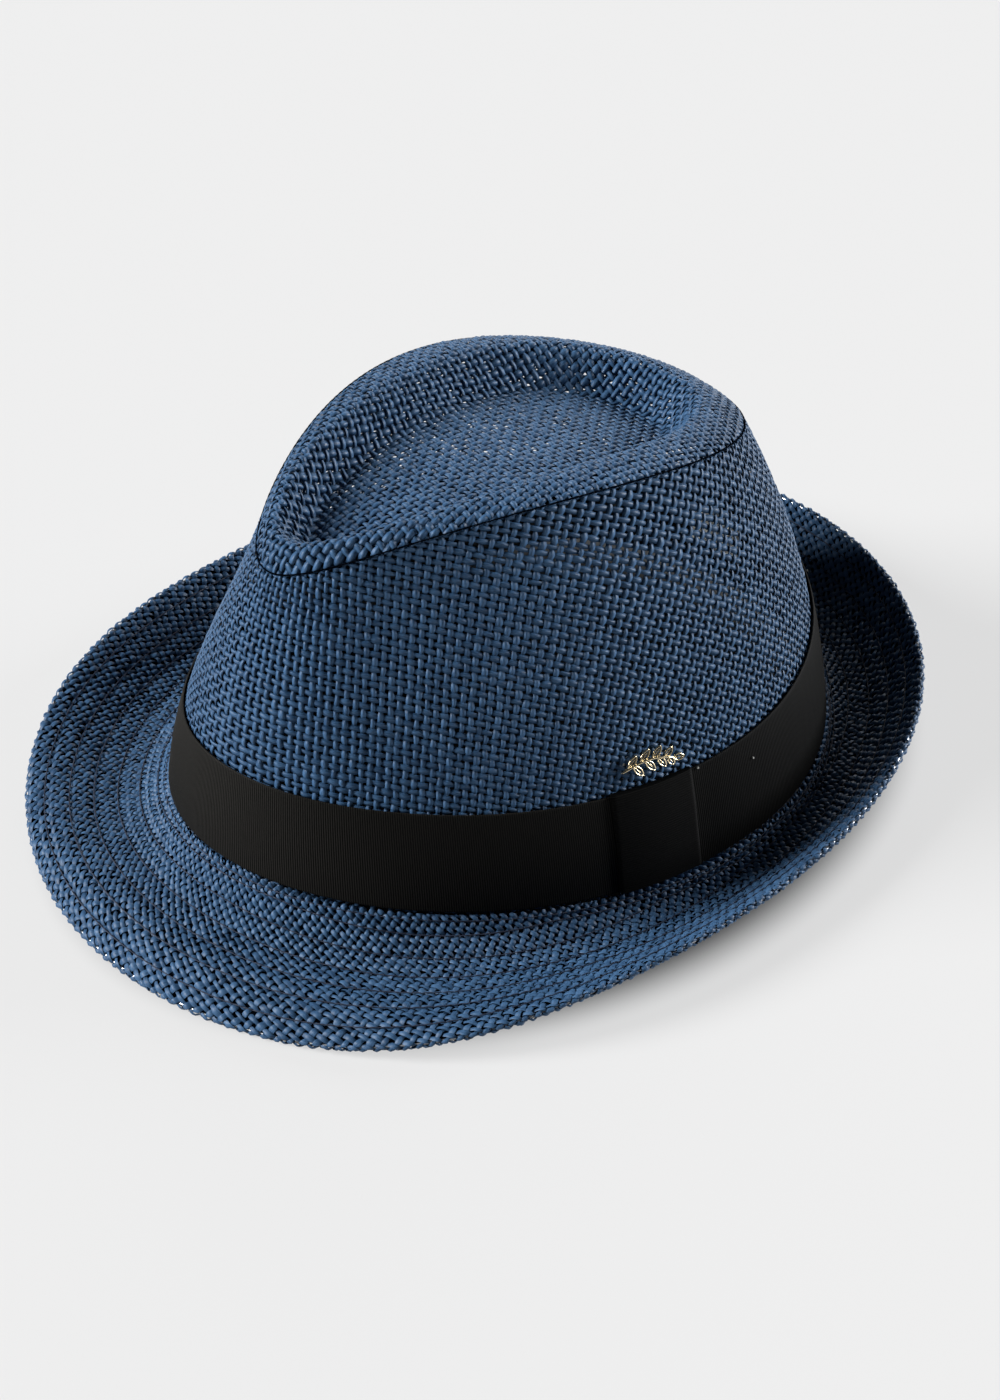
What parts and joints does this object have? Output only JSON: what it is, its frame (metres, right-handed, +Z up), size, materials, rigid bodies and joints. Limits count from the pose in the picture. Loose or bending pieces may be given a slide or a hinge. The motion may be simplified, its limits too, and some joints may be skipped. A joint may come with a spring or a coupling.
{
  "type": "fedora hat",
  "caption": "Woven fedora hat with a teardrop centre dent, a dark ribbon band with a keeper, a small leaf emblem, and a stitched brim that dips in front and turns up at the back.",
  "frame": {"origin": "on the surface that the hat stands on, under the middle of the brim", "axes": "+Z up, -Y towards the front of the hat, +X towards the wearer's left, where the keeper and emblem are"},
  "size_m": [0.2324, 0.2818, 0.1207],
  "materials": {
    "woven_cloth": "plain weave of flat paper strands, denim blue, satin",
    "interlining": "stiff dark non-woven, matt",
    "edge_wire": "spring wire",
    "thread": "spun thread, navy",
    "seam_tape": "bias tape, matt black",
    "sweatband": "soft twill, matt black",
    "label": "satin woven, blank",
    "ribbon": "ribbed grosgrain, black",
    "tack_thread": "thread, light grey",
    "pale_gold": "polished pale gold plate",
    "washer_steel": "stamped"
  },
  "bodies": {
    "root": {"crown_tip": "woven_cloth", "crown_side": "woven_cloth", "brim_upper": "woven_cloth", "brim_under": "woven_cloth", "brim_interlining": "interlining", "brim_edge_wire": "edge_wire", "brim_stitching": "thread", "root_thread": "thread", "tip_seam_thread": "thread", "tip_seam_tape": "seam_tape", "back_seam_tape": "seam_tape", "sweatband_strip": "sweatband", "sweatband_thread": "thread", "size_label": "label", "label_thread": "label", "hat_band": "ribbon", "band_keeper": "ribbon", "band_tacks": "tack_thread", "badge_emblem": "pale_gold", "badge_prongs": "pale_gold", "badge_washers": "washer_steel"}
  },
  "joints": []
}
